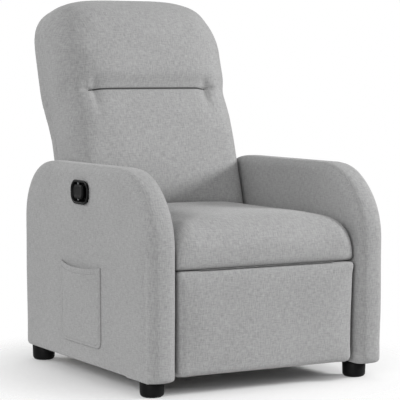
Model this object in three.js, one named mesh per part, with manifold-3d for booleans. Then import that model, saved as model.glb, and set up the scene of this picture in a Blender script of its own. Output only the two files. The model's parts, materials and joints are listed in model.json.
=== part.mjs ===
// A manual recliner armchair: two upholstered arms carry a steel mechanism, the mechanism carries
// the seat, and the seat carries the backrest and the footrest.
// Millimetres. +Z up, -Y is the way the sitter faces, +X is the viewer's right from the front.
import * as THREE from "three";
import { mergeVertices } from "three/addons/utils/BufferGeometryUtils.js";
import Module from "manifold-3d";

const wasm = await Module();
wasm.setup();

// ---- driving dimensions -------------------------------------------------------------------

const GAP = 0.3; // left between pieces that touch
const WIDTH = 670; // over both arms
const INNER = 254; // half the space between the arms

const LEG = { height: 44, radius: 30, x: 288, front: -322, rear: 300, stud: 4 };
const ARM = {
  front: -410,
  rear: 324,
  bottom: 44,
  top: 539,
  padding: 14,
  frontPadding: 28, // thicker, so that the front can be a full round
  board: 12,
};

// Seat suspension: equal, parallel swing links on the arms' plates carry the seat rails.
const SWING = { length: 110, lean: THREE.MathUtils.degToRad(20), y: [-180, 90], z: 150 };

// Footrest linkage: links and bars form two parallelograms that turn the footrest about a
// point inside the seat's front roll, where there is no room for a real hinge.
const CENTRE = { y: -390, z: 412 };
const LINE = { y: Math.cos(Math.PI / 6), z: -Math.sin(Math.PI / 6) }; // from the centre to the rail pivots
const HANG = { y: 0.6, z: -0.8 }; // the links' direction when folded
const RAIL_PIVOTS = [188, 278]; // along the line
const BAR_RADII = [140, 200]; // along each link

// Across the chair, half-distances of each steel layer from its middle plane.
const LAYER = {
  basePlate: [250.7, 253.7],
  swing: [243, 247],
  rail: [236, 240],
  link: [229, 233],
  bar: [222, 226],
  bracket: [215, 219],
};

const BACK = {
  pivot: { y: 178, z: 300 },
  rake: THREE.MathUtils.degToRad(16.7),
  bottom: 45,
  shoulder: 520,
  top: 677,
  squareness: 3.1, // of the top's curve: 2 is an oval, more is squarer
  halfBottom: 242,
  halfTop: 257,
  front: -96,
  split: -22,
  rear: 80,
};

const SEAT = {
  half: 248,
  front: -388,
  rear: 94,
  top: 436,
  deck: 381,
  roll: 66,
  rollBottom: 302,
  frameTop: 373.6,
  frameBottom: 333.3,
  boardFront: [-318, -296],
  boardRear: [66, 88],
};

const FOOTREST = { half: 245, bottom: 43, top: 298, front: -388, board: [-337, -322] };
const HANDLE = { y: -30, z: 469, length: 98, height: 60, depth: 16, wall: 2, lip: 5 };
const POCKET = { front: -137, rear: 83, bottom: 90, top: 290, bulge: 12, wall: 2.5 };

// ---- materials ----------------------------------------------------------------------------

const fabric = new THREE.MeshStandardMaterial({ color: 0xa9a9a8, roughness: 0.95, metalness: 0 });
const wood = new THREE.MeshStandardMaterial({ color: 0xc2a072, roughness: 0.8, metalness: 0 });
const blackSteel = new THREE.MeshStandardMaterial({ color: 0x222326, roughness: 0.45, metalness: 0.6 });
const springWire = new THREE.MeshStandardMaterial({ color: 0x8d9095, roughness: 0.35, metalness: 0.9 });
const blackPlastic = new THREE.MeshStandardMaterial({ color: 0x151517, roughness: 0.5, metalness: 0 });
const webbing = new THREE.MeshStandardMaterial({ color: 0x2e2e30, roughness: 0.9, metalness: 0 });

// ---- shape helpers ------------------------------------------------------------------------

const X = new THREE.Vector3(1, 0, 0);
const Y = new THREE.Vector3(0, 1, 0);
const Z = new THREE.Vector3(0, 0, 1);

// How an extrusion lies: which way a shape's x, its y and the extrusion's depth point.
const ALONG_X = new THREE.Matrix4().makeBasis(Y, Z, X);
const ALONG_MINUS_Y = new THREE.Matrix4().makeBasis(X, Z, Y.clone().negate());

// A closed three.js geometry as a solid that can be cut and joined.
function solid(geometry) {
  const bare = geometry.clone();
  bare.deleteAttribute("normal");
  bare.deleteAttribute("uv");
  const merged = mergeVertices(bare, 1e-3);
  return new wasm.Manifold(
    new wasm.Mesh({
      numProp: 3,
      vertProperties: merged.attributes.position.array,
      triVerts: new Uint32Array(merged.index.array),
    }),
  );
}

function geometryOf(body) {
  const mesh = body.getMesh();
  const geometry = new THREE.BufferGeometry();
  geometry.setAttribute("position", new THREE.BufferAttribute(new Float32Array(mesh.vertProperties), 3));
  geometry.setIndex(new THREE.BufferAttribute(new Uint32Array(mesh.triVerts), 1));
  return geometry;
}

function box([x0, x1], [y0, y1], [z0, z1]) {
  const geometry = new THREE.BoxGeometry(x1 - x0, y1 - y0, z1 - z0);
  return solid(geometry.translate((x0 + x1) / 2, (y0 + y1) / 2, (z0 + z1) / 2));
}

// The shape's outline without the doubled points its arcs leave where they meet its lines.
function cleanOutline(shape, curveSegments) {
  const points = [];
  for (const point of shape.getPoints(curveSegments))
    if (!points.length || point.distanceTo(points.at(-1)) > 0.01) points.push(point);
  if (points[0].distanceTo(points.at(-1)) < 0.01) points.pop();
  return new THREE.Shape(points);
}

// A shape's prism, its long edges rounded over by soften within the shape's own outline.
function extruded(shape, depth, { soften = 0, steps = 3, curveSegments = 5 }) {
  const geometry = new THREE.ExtrudeGeometry(cleanOutline(shape, curveSegments), {
    depth: depth - 2 * soften,
    bevelEnabled: soften > 0,
    bevelSize: soften,
    bevelThickness: soften,
    bevelOffset: -soften,
    bevelSegments: steps,
  });
  return geometry.translate(0, 0, soften);
}

// A prism of a shape drawn in Y and Z, from one X to another.
function prismX(shape, [x0, x1], options = {}) {
  return solid(extruded(shape, x1 - x0, options).applyMatrix4(ALONG_X).translate(x0, 0, 0));
}

// A prism of a shape drawn in X and Z, from one Y to another.
function prismY(shape, [y0, y1], options = {}) {
  return solid(extruded(shape, y1 - y0, options).applyMatrix4(ALONG_MINUS_Y).translate(0, y1, 0));
}

function rodX({ y, z }, radius, [x0, x1], sides = 12) {
  const geometry = new THREE.CylinderGeometry(radius, radius, Math.abs(x1 - x0), sides);
  return solid(geometry.rotateZ(Math.PI / 2).translate((x0 + x1) / 2, y, z));
}

function rodZ(x, y, radius, [z0, z1], sides = 12) {
  const geometry = new THREE.CylinderGeometry(radius, radius, z1 - z0, sides);
  return solid(geometry.rotateX(Math.PI / 2).translate(x, y, (z0 + z1) / 2));
}

function roundedRectangle([a0, a1], [b0, b1], radius) {
  const s = new THREE.Shape();
  s.moveTo(a0 + radius, b0);
  s.lineTo(a1 - radius, b0);
  s.absarc(a1 - radius, b0 + radius, radius, -Math.PI / 2, 0, false);
  s.lineTo(a1, b1 - radius);
  s.absarc(a1 - radius, b1 - radius, radius, 0, Math.PI / 2, false);
  s.lineTo(a0 + radius, b1);
  s.absarc(a0 + radius, b1 - radius, radius, Math.PI / 2, Math.PI, false);
  s.lineTo(a0, b0 + radius);
  s.absarc(a0 + radius, b0 + radius, radius, Math.PI, 1.5 * Math.PI, false);
  return s;
}

// A flat strap of steel from one pivot to another, with round ends, in Y and Z.
function strap(from, to, halfWidth) {
  const angle = Math.atan2(to.z - from.z, to.y - from.y);
  const s = new THREE.Shape();
  s.absarc(to.y, to.z, halfWidth, angle - Math.PI / 2, angle + Math.PI / 2, false);
  s.absarc(from.y, from.z, halfWidth, angle + Math.PI / 2, angle + 1.5 * Math.PI, false);
  return s;
}

// Layers and straps are made on the right; side -1 gives the left-hand copy.
const mirrored = ([a, b], side) => (side > 0 ? [a, b] : [-b, -a]);

// A riveted pivot: a stud through the next piece's hole, with a head beyond it.
const STUD = 5;
const EYE = 5.6;
function rivet(point, [from, to], side, headRadius = 8) {
  const stud = rodX(point, STUD, mirrored([Math.min(from, to), Math.max(from, to)], side));
  const inward = Math.sign(to - from);
  const head = [to, to + 1.6 * inward].sort((a, b) => a - b);
  return headRadius ? stud.add(rodX(point, headRadius, mirrored(head, side))) : stud;
}

const chair = new THREE.Group();
chair.position.y = -12; // the origin lies under the middle of the chair's whole depth
function part(name, body, material, group = chair) {
  const mesh = new THREE.Mesh(geometryOf(body), material);
  mesh.name = name;
  group.add(mesh);
}

const SIDES = [
  ["left", -1],
  ["right", 1],
];

// ---- arms ---------------------------------------------------------------------------------

// The arm seen from the side: a flat top that falls in a large round at each end.
function armProfile(inset, bottom, frontInset = inset) {
  const front = ARM.front + frontInset;
  const rear = ARM.rear - inset;
  const top = ARM.top - inset;
  const frontRound = 185 - frontInset;
  const rearRound = 150 - inset;
  const foot = Math.max(30 - inset, 4);
  const s = new THREE.Shape();
  s.moveTo(front + foot, bottom);
  s.lineTo(rear - foot, bottom);
  s.absarc(rear - foot, bottom + foot, foot, -Math.PI / 2, 0, false);
  s.lineTo(rear, top - rearRound);
  s.absarc(rear - rearRound, top - rearRound, rearRound, 0, Math.PI / 2, false);
  s.lineTo(front + frontRound, top);
  s.absarc(front + frontRound, top - frontRound, frontRound, Math.PI / 2, Math.PI, false);
  s.lineTo(front, bottom + foot);
  s.absarc(front + foot, bottom + foot, foot, Math.PI, 1.5 * Math.PI, false);
  return s;
}

const ARM_SKIN = [INNER, WIDTH / 2];
const ARM_HOLLOW = [INNER + ARM.padding, WIDTH / 2 - ARM.padding];
const FRAME_X = [ARM_HOLLOW[0] + GAP, ARM_HOLLOW[1] - GAP];
const CABLE_HOLE = { y: -60, z: 152, radius: 5 };

// Where the release handle's cup goes through the left arm.
function cupOutline(grow, corner) {
  const halfLength = HANDLE.length / 2 - HANDLE.lip + grow;
  const halfHeight = HANDLE.height / 2 - HANDLE.lip + grow;
  const alongY = [HANDLE.y - halfLength, HANDLE.y + halfLength];
  return roundedRectangle(alongY, [HANDLE.z - halfHeight, HANDLE.z + halfHeight], corner);
}
const cupHole = prismX(cupOutline(GAP, 20), [-WIDTH / 2 - 1, -FRAME_X[1] + ARM.board + 1]);

function armCover(side) {
  let cover = prismX(armProfile(0, ARM.bottom), mirrored(ARM_SKIN, side), { soften: 20 });
  const inside = armProfile(ARM.padding, ARM.bottom - 20, ARM.frontPadding);
  const hollow = prismX(inside, mirrored(ARM_HOLLOW, side));
  cover = cover.subtract(hollow);
  if (side < 0) {
    cover = cover.subtract(cupHole);
    cover = cover.subtract(rodX(CABLE_HOLE, CABLE_HOLE.radius, [-ARM_HOLLOW[0] - 2, -INNER + 2], 12));
  }
  return cover;
}

// The arm's frame is a box of two boards on blocks. An access slot in the inner board opens it.
function armFrame(side) {
  const skin = ARM.padding + GAP;
  const frontSkin = ARM.frontPadding + GAP;
  const outline = armProfile(skin, ARM.bottom, frontSkin);
  const rails = armProfile(skin + 32, ARM.bottom + 33, frontSkin + 32);
  const between = [FRAME_X[0] + ARM.board, FRAME_X[1] - ARM.board];
  let frame = prismX(outline, mirrored(FRAME_X, side));
  frame = frame.subtract(prismX(rails, mirrored(between, side)));
  const slot = roundedRectangle([-90, 130], [200, 400], 30);
  frame = frame.subtract(prismX(slot, mirrored([FRAME_X[0] - 1, between[0] + 1], side)));
  for (const y of [LEG.front, LEG.rear])
    frame = frame.subtract(rodZ(side * LEG.x, y, LEG.stud + 0.6, [ARM.bottom - 5, ARM.bottom + 27], 10));
  if (side < 0) {
    frame = frame.subtract(cupHole);
    frame = frame.subtract(rodX(CABLE_HOLE, CABLE_HOLE.radius, [-between[0] - 1, -FRAME_X[0] + 1], 12));
  }
  return frame;
}

for (const [name, side] of SIDES) {
  part(`arm_frame_${name}`, armFrame(side), wood);
  part(`arm_cover_${name}`, armCover(side), fabric);
}

// ---- legs, rails and rear panel -----------------------------------------------------------

// A turned plastic foot with a threaded stud moulded into its top.
function leg(x, y) {
  const foot = LEG.height - GAP;
  const points = [
    [0, 0],
    [LEG.radius - 8, 0],
    [LEG.radius - 3.5, 2],
    [LEG.radius - 1.2, 7],
    [LEG.radius, foot],
    [LEG.stud, foot],
    [LEG.stud, foot + 22],
    [0, foot + 22],
  ].map(([r, z]) => new THREE.Vector2(r, z));
  return solid(new THREE.LatheGeometry(points, 18).rotateX(Math.PI / 2).translate(x, y, 0));
}

for (const [name, side] of SIDES) {
  part(`leg_front_${name}`, leg(side * LEG.x, LEG.front), blackPlastic);
  part(`leg_rear_${name}`, leg(side * LEG.x, LEG.rear), blackPlastic);
}

const ACROSS = [-INNER + GAP, INNER - GAP];
part("front_cross_rail", box(ACROSS, [-300, -262], [45, 63]), blackSteel);
part("rear_cross_rail", box(ACROSS, [262, 290], [60, 130]), wood);
const rearPanel = roundedRectangle(ACROSS, [50, 330], 8);
part("rear_lower_panel", prismY(rearPanel, [302, 320], { soften: 5, steps: 2 }), fabric);

// ---- swing links that carry the seat ------------------------------------------------------

const swingBase = SWING.y.map((y) => ({ y, z: SWING.z }));
const swingTop = swingBase.map(({ y, z }) => ({
  y: y + SWING.length * Math.sin(SWING.lean),
  z: z + SWING.length * Math.cos(SWING.lean),
}));

for (const [name, side] of SIDES) {
  const plate = roundedRectangle([-215, 125], [128, 172], 20);
  let base = prismX(plate, mirrored(LAYER.basePlate, side));
  base = base.add(rivet(swingBase[0], [LAYER.basePlate[0] + 1, LAYER.swing[0] - 0.6], side));
  base = base.add(rivet(swingBase[1], [LAYER.basePlate[0] + 1, LAYER.swing[0] - 0.6], side, 0));
  if (side < 0) base = base.subtract(rodX(CABLE_HOLE, CABLE_HOLE.radius, mirrored(LAYER.basePlate, -1), 12));
  part(`base_plate_${name}`, base, blackSteel);

  ["front", "rear"].forEach((place, i) => {
    let link = prismX(strap(swingBase[i], swingTop[i], 12), mirrored(LAYER.swing, side));
    for (const pivot of [swingBase[i], swingTop[i]]) {
      link = link.subtract(rodX(pivot, EYE, mirrored(LAYER.swing, side)));
    }
    part(`${place}_swing_link_${name}`, link, blackSteel);
  });
}
const tubeEnd = LAYER.swing[0] - GAP;
const swingTube = rodX(swingBase[1], 12, [-tubeEnd, tubeEnd], 20);
const swingBore = rodX(swingBase[1], 9.5, [-tubeEnd - 1, tubeEnd + 1], 20);
part("rear_swing_tube", swingTube.subtract(swingBore), blackSteel);

// ---- seat rails and footrest linkage ------------------------------------------------------

const along = (from, direction, distance) => ({
  y: from.y + direction.y * distance,
  z: from.z + direction.z * distance,
});
const railPivots = RAIL_PIVOTS.map((d) => along(CENTRE, LINE, d));
const barJoints = BAR_RADII.map((r) => [...railPivots, CENTRE].map((p) => along(p, HANG, r)));

// The rail's side plate: its top edge carries an inward flange that the seat frame sits on.
function railOutline() {
  const s = new THREE.Shape();
  s.moveTo(-246, 333);
  s.lineTo(-246, 308);
  s.lineTo(-172, 240);
  s.lineTo(150, 238);
  s.absarc(BACK.pivot.y, BACK.pivot.z, 22, -Math.PI / 3, Math.PI / 2, false);
  s.lineTo(140, 333);
  return s;
}

const DRIVE = { radius: 8, journal: 6 };
for (const [name, side] of SIDES) {
  let rail = prismX(railOutline(), mirrored(LAYER.rail, side));
  rail = rail.add(box(mirrored([190, LAYER.rail[1]], side), [-246, 64], [330, 333]));
  for (const pivot of swingTop) {
    rail = rail.add(rivet(pivot, [LAYER.rail[1] - 1, LAYER.swing[1] + 0.6], side));
  }
  rail = rail.add(rivet(railPivots[1], [LAYER.rail[0] + 1, LAYER.link[0] - 0.6], side));
  rail = rail.add(rivet(BACK.pivot, [LAYER.rail[0] + 1, 221.6], side));
  rail = rail.subtract(rodX(railPivots[0], DRIVE.journal + 0.6, mirrored(LAYER.rail, side)));
  part(`seat_rail_${name}`, rail, blackSteel);

  const linkNames = ["drive_link", "idler_link"];
  railPivots.forEach((pivot, i) => {
    const hole = i === 0 ? DRIVE.journal + 0.35 : EYE;
    const joints = barJoints.map((row) => row[i]);
    let link = prismX(strap(pivot, joints[1], 11), mirrored(LAYER.link, side));
    link = link.subtract(rodX(pivot, hole, mirrored(LAYER.link, side)));
    for (const joint of joints) link = link.add(rivet(joint, [LAYER.link[0] + 1, LAYER.bar[0] - 0.6], side));
    part(`${linkNames[i]}_${name}`, link, blackSteel);
  });

  ["upper_bar", "lower_bar"].forEach((barName, i) => {
    let bar = prismX(strap(barJoints[i][1], barJoints[i][2], 10), mirrored(LAYER.bar, side));
    for (const joint of barJoints[i]) bar = bar.subtract(rodX(joint, EYE, mirrored(LAYER.bar, side)));
    part(`${barName}_${name}`, bar, blackSteel);
  });

  // The bracket screws to the footrest's board and carries the bars' front pivots.
  const [upper, lower] = barJoints.map((row) => row[2]);
  const boardBack = FOOTREST.board[1] + GAP;
  const bracketOutline = new THREE.Shape();
  bracketOutline.moveTo(boardBack, upper.z - 2);
  bracketOutline.lineTo(boardBack, 140);
  bracketOutline.lineTo(boardBack + 22, 140);
  bracketOutline.lineTo(lower.y + 10, lower.z - 8);
  bracketOutline.lineTo(lower.y + 10, lower.z + 8);
  bracketOutline.lineTo(upper.y + 10, upper.z + 10);
  let bracket = prismX(bracketOutline, mirrored(LAYER.bracket, side));
  const flange = mirrored([LAYER.bracket[0] - 22, LAYER.bracket[1]], side);
  bracket = bracket.add(box(flange, [boardBack, boardBack + 3], [142, 282]));
  for (const joint of [upper, lower])
    bracket = bracket.add(rivet(joint, [LAYER.bracket[1] - 1, LAYER.bar[1] + 0.6], side, 7.5));
  part(`footrest_bracket_${name}`, bracket, blackSteel);
}

const driveEnd = LAYER.link[0] - GAP;
const driveTube = rodX(railPivots[0], DRIVE.radius, [-driveEnd, driveEnd], 16);
const journals = rodX(railPivots[0], DRIVE.journal, [-LAYER.rail[1] - 1.5, LAYER.rail[1] + 1.5], 16);
part("drive_tube", driveTube.add(journals), blackSteel);

// ---- seat ---------------------------------------------------------------------------------

const frameZ = [SEAT.frameBottom, SEAT.frameTop];
const boardEnds = [-206, 206];
part("seat_front_board", box(boardEnds, SEAT.boardFront, frameZ), wood);
part("seat_rear_board", box(boardEnds, SEAT.boardRear, frameZ), wood);
for (const [name, side] of SIDES) {
  const between = [SEAT.boardFront[1] + GAP, SEAT.boardRear[0] - GAP];
  part(`seat_side_board_${name}`, box(mirrored([186, 206], side), between, frameZ), wood);
}

// A sinuous spring: one wire that snakes from the front board to the rear one.
const WIRE = 1.9;
function snakeSpring(x) {
  const start = SEAT.boardFront[0] + 8;
  const end = SEAT.boardRear[1] - 8;
  const turns = 8;
  const halfWidth = 24;
  const z = SEAT.frameTop + GAP + WIRE;
  const points = [];
  const steps = turns * 5;
  for (let i = 0; i <= steps; i++) {
    const swing = Math.sin((i / steps) * turns * 2 * Math.PI);
    const flat = Math.sign(swing) * Math.pow(Math.abs(swing), 0.5);
    points.push(new THREE.Vector3(x + halfWidth * flat, start + (i / steps) * (end - start), z));
  }
  const wire = new THREE.Shape();
  wire.absarc(0, 0, WIRE, 0, 2 * Math.PI, false);
  const path = new THREE.CatmullRomCurve3(points, false, "catmullrom", 0.2);
  return solid(new THREE.ExtrudeGeometry(wire, { steps, extrudePath: path, curveSegments: 2 }));
}
[-135, -45, 45, 135].forEach((x, i) => part(`seat_spring_${i + 1}`, snakeSpring(x), springWire));

// The cushion is a slab over the springs whose front turns down in a roll.
function cushionProfile() {
  const backOfRoll = SEAT.front + SEAT.roll;
  const frontRound = 62;
  const s = new THREE.Shape();
  s.moveTo(SEAT.rear, SEAT.deck);
  s.lineTo(SEAT.rear + 12, SEAT.top - 20);
  s.lineTo(SEAT.rear - 16, SEAT.top);
  s.lineTo(SEAT.front + frontRound, SEAT.top);
  s.absarc(SEAT.front + frontRound, SEAT.top - frontRound, frontRound, Math.PI / 2, Math.PI, false);
  s.lineTo(SEAT.front, SEAT.rollBottom + 30);
  s.absarc(SEAT.front + 30, SEAT.rollBottom + 30, 30, Math.PI, 1.5 * Math.PI, false);
  s.lineTo(backOfRoll, SEAT.rollBottom);
  s.lineTo(backOfRoll, SEAT.deck);
  return s;
}
const cushion = prismX(cushionProfile(), [-SEAT.half, SEAT.half], { soften: 22 });
part("seat_cushion", cushion, fabric);

// ---- footrest -----------------------------------------------------------------------------

const footrestEdge = roundedRectangle([-FOOTREST.half, FOOTREST.half], [FOOTREST.bottom, FOOTREST.top], 32);
const padY = [FOOTREST.front, FOOTREST.board[0] - GAP];
part("footrest_pad", prismY(footrestEdge, padY, { soften: 18 }), fabric);
part("footrest_board", box([-234, 234], FOOTREST.board, [FOOTREST.bottom + 10, FOOTREST.top - 8]), wood);

// ---- backrest, drawn upright about its pivot and then leaned back --------------------------

const back = new THREE.Group();
back.position.set(0, BACK.pivot.y, BACK.pivot.z);
back.rotation.x = -BACK.rake;
chair.add(back);

// The backrest seen from the front: nearly straight sides under a top like a squared oval.
function backOutline() {
  const wide = BACK.halfTop;
  const narrow = BACK.halfBottom;
  const corner = 60;
  const s = new THREE.Shape();
  s.moveTo(-narrow + corner, BACK.bottom);
  s.lineTo(narrow - corner, BACK.bottom);
  s.absarc(narrow - corner, BACK.bottom + corner, corner, -Math.PI / 2, 0, false);
  const steps = 18;
  const power = 2 / BACK.squareness;
  for (let i = 0; i <= steps; i++) {
    const angle = (i / steps) * Math.PI;
    const across = Math.sign(Math.cos(angle)) * Math.abs(Math.cos(angle)) ** power;
    const up = Math.sin(angle) ** power;
    s.lineTo(wide * across, BACK.shoulder + (BACK.top - BACK.shoulder) * up);
  }
  s.lineTo(-narrow, BACK.bottom + corner);
  s.absarc(-narrow + corner, BACK.bottom + corner, corner, Math.PI, 1.5 * Math.PI, false);
  return s;
}

const POST = { x: [200, 222], y: [-18, 17], z: [BACK.bottom + 8, 570] };
// Front cushion and rear shell are one softened block cut in two; the shell is hollow for the frame.
const beyond = 400;
const fullFront = prismY(backOutline(), [BACK.front, BACK.front + 160], { soften: 55 });
const aheadOfSplit = box([-beyond, beyond], [-beyond, BACK.split], [0, 2 * beyond]);
part("back_cushion", fullFront.intersect(aheadOfSplit), fabric, back);
const fullRear = prismY(backOutline(), [BACK.rear - 140, BACK.rear], { soften: 34 });
const behindSplit = box([-beyond, beyond], [BACK.split + GAP, beyond], [0, 2 * beyond]);
const frameSpace = box([-229, 229], [BACK.split - 20, POST.y[1] + 3], [BACK.bottom - 10, POST.z[1] + 6]);
part("back_shell", fullRear.intersect(behindSplit).subtract(frameSpace), fabric, back);

for (const [name, side] of SIDES) {
  part(`back_post_${name}`, box(mirrored(POST.x, side), POST.y, POST.z), wood, back);
  const blade = roundedRectangle([-17, 17], [20, 260], 8);
  const bladeX = mirrored([POST.x[1] + GAP, POST.x[1] + 4.3], side);
  let bracket = prismX(blade, bladeX).add(rodX({ y: 0, z: 0 }, 20, bladeX, 20));
  bracket = bracket.add(prismX(strap({ y: 0, z: 0 }, { y: 0, z: 60 }, 17), bladeX));
  bracket = bracket.subtract(rodX({ y: 0, z: 0 }, EYE, bladeX));
  part(`back_bracket_${name}`, bracket, blackSteel, back);
}
const betweenPosts = [-POST.x[0] + GAP, POST.x[0] - GAP];
part("back_bottom_rail", box(betweenPosts, [-12, 12], [POST.z[0], POST.z[0] + 50]), wood, back);
part("back_top_rail", box(betweenPosts, [-12, 12], [POST.z[1] - 60, POST.z[1]]), wood, back);
[200, 330].forEach((z, i) => {
  const strapY = [POST.y[0] - GAP - 2, POST.y[0] - GAP];
  part(`back_webbing_${i + 1}`, box([-218, 218], strapY, [z, z + 65]), webbing, back);
});

// ---- release handle, its cable and the side pocket ----------------------------------------

// The cup: a lipped tray let into the outer face of the left arm.
const face = -WIDTH / 2;
const lipOutline = roundedRectangle(
  [HANDLE.y - HANDLE.length / 2, HANDLE.y + HANDLE.length / 2],
  [HANDLE.z - HANDLE.height / 2, HANDLE.z + HANDLE.height / 2],
  26,
);
let cup = prismX(cupOutline(0, 20), [face - 3, face + HANDLE.depth]);
cup = cup.add(prismX(lipOutline, [face - 3.3, face - GAP], { soften: 1.2, steps: 2 }));
cup = cup.subtract(prismX(cupOutline(-HANDLE.wall, 14), [face - 5, face + HANDLE.depth - HANDLE.wall]));
const CABLE_START = { y: HANDLE.y + 12, z: HANDLE.z - 8 };
cup = cup.subtract(rodX(CABLE_START, 1.6, [face, face + HANDLE.depth + 1], 8));
part("handle_cup", cup, blackPlastic);

// The lever turns about an upright pin near the cup's rear end; fingers go in ahead of it.
const PIN = { x: face + 8, y: HANDLE.y + 27, radius: 2 };
const pinReach = HANDLE.height / 2 - HANDLE.lip - HANDLE.wall - GAP;
part("handle_pin", rodZ(PIN.x, PIN.y, PIN.radius, [HANDLE.z - pinReach, HANDLE.z + pinReach]), springWire);
const paddle = roundedRectangle([HANDLE.y - 16, PIN.y + 9], [HANDLE.z - 18, HANDLE.z + 18], 11);
let lever = prismX(paddle, [face - 1, face + 4], { soften: 1.4, steps: 2, curveSegments: 3 });
for (const end of [-1, 1]) {
  const knuckle = [HANDLE.z + end * 14 - 3.5, HANDLE.z + end * 14 + 3.5];
  const hole = rodZ(PIN.x, PIN.y, PIN.radius + 0.5, [knuckle[0] - 1, knuckle[1] + 1]);
  lever = lever.add(rodZ(PIN.x, PIN.y, 4.8, knuckle)).subtract(hole);
}
part("handle_lever", lever, blackPlastic);

// The return spring's coil sits on the pin between the lever's knuckles.
function returnSpring() {
  const turns = 4;
  const coil = 3.1;
  const points = [];
  const steps = turns * 8;
  for (let i = 0; i <= steps; i++) {
    const angle = (i / steps) * turns * 2 * Math.PI;
    const z = HANDLE.z - 8 + (16 * i) / steps;
    points.push(new THREE.Vector3(PIN.x + coil * Math.cos(angle), PIN.y + coil * Math.sin(angle), z));
  }
  const wire = new THREE.Shape();
  wire.absarc(0, 0, 0.5, 0, 2 * Math.PI, false);
  const path = new THREE.CatmullRomCurve3(points);
  return solid(new THREE.ExtrudeGeometry(wire, { steps, extrudePath: path, curveSegments: 2 }));
}
part("lever_return_spring", returnSpring(), springWire);

// The release cable runs down inside the arm from the cup to the latch on the base plate.
const CABLE_ROUTE = [
  [face + HANDLE.depth + 1.4, CABLE_START.y, CABLE_START.z],
  [-308, CABLE_START.y, CABLE_START.z - 4],
  [-299, CABLE_START.y - 3, CABLE_START.z - 24],
  [-294, CABLE_START.y - 8, CABLE_START.z - 60],
  [-294, -34, 330],
  [-294, -46, 240],
  [-294, -58, 180],
  [-291, CABLE_HOLE.y, 158],
  [-284, CABLE_HOLE.y, CABLE_HOLE.z],
  [-268, CABLE_HOLE.y, CABLE_HOLE.z],
  [-250.4, CABLE_HOLE.y, CABLE_HOLE.z],
];
const sheath = new THREE.Shape();
sheath.absarc(0, 0, 2.6, 0, 2 * Math.PI, false);
const route = new THREE.CatmullRomCurve3(CABLE_ROUTE.map((p) => new THREE.Vector3(...p)));
const cable = new THREE.ExtrudeGeometry(sheath, { steps: 26, extrudePath: route, curveSegments: 3 });
part("release_cable", solid(cable), blackPlastic);
const latchOutline = roundedRectangle(
  [CABLE_HOLE.y - 16, CABLE_HOLE.y + 16],
  [CABLE_HOLE.z - 12, CABLE_HOLE.z + 12],
  4,
);
part("cable_latch", prismX(latchOutline, [-250.1, -243.5]), blackSteel);

// The pocket is a patch of cover cloth on the arm's outer face, open along its sagging top.
function pocketOutline(inset, topRise) {
  const y0 = POCKET.front + inset;
  const y1 = POCKET.rear - inset;
  const s = new THREE.Shape();
  const corner = 22 - inset;
  const low = POCKET.bottom + inset;
  s.moveTo(y0 + corner, low);
  s.lineTo(y1 - corner, low);
  s.absarc(y1 - corner, low + corner, corner, -Math.PI / 2, 0, false);
  s.lineTo(y1, POCKET.top + topRise);
  s.quadraticCurveTo((y0 + y1) / 2, POCKET.top - 20 + topRise, y0, POCKET.top + topRise);
  s.lineTo(y0, low + corner);
  s.absarc(y0 + corner, low + corner, corner, Math.PI, 1.5 * Math.PI, false);
  return s;
}
const pocketX = [face - GAP - POCKET.bulge, face - GAP];
let pocket = prismX(pocketOutline(0, 0), pocketX, { soften: 6, steps: 2 });
const pouch = prismX(pocketOutline(9, 30), [pocketX[0] + POCKET.wall, pocketX[1] - 1.5]);
pocket = pocket.subtract(pouch);
part("side_pocket", pocket, fabric);

export default chair;
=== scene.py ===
"""A light grey recliner armchair: upholstered pieces over a steel and timber frame."""
import json
import math

import bmesh
import bpy
import numpy as np
from mathutils import Matrix, Vector
from mathutils.bvhtree import BVHTree


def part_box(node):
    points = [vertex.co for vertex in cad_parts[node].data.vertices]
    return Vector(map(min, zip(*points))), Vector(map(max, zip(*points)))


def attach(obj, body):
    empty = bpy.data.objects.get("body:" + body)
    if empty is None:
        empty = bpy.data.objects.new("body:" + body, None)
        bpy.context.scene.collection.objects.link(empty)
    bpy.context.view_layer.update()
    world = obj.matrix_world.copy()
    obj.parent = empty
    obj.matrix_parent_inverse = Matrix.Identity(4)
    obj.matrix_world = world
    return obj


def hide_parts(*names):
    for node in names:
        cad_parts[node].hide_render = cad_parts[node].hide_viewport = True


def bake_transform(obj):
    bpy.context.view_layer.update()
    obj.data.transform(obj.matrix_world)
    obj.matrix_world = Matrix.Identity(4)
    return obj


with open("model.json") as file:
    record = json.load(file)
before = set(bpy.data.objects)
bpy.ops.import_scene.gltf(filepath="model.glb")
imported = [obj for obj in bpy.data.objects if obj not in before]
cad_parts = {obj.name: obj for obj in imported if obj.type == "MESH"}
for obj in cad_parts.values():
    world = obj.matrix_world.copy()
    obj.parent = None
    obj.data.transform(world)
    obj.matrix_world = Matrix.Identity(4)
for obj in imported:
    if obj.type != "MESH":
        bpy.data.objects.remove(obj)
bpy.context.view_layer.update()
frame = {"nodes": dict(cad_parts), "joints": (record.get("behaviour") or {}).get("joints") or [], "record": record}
JOINTS = {joint["name"]: joint for joint in frame["joints"]}
MM = 0.001


# ---- camera, light and floor ---------------------------------------------------------------

CAMERA_PLACE = Vector((-2.190, -3.960, 0.773))
CAMERA_YAW = 0.5109
CAMERA_PITCH = 0.0747
CAMERA_LENS = 157.3


def make_camera():
    data = bpy.data.cameras.new("camera")
    data.sensor_width = 36
    data.lens = CAMERA_LENS
    camera = bpy.data.objects.new("camera", data)
    bpy.context.collection.objects.link(camera)
    level = math.cos(CAMERA_PITCH)
    across, ahead = math.sin(CAMERA_YAW) * level, math.cos(CAMERA_YAW) * level
    looking = Vector((across, ahead, -math.sin(CAMERA_PITCH)))
    camera.location = CAMERA_PLACE
    camera.rotation_mode = "QUATERNION"
    camera.rotation_quaternion = looking.to_track_quat("-Z", "Y")
    bpy.context.scene.camera = camera


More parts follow.
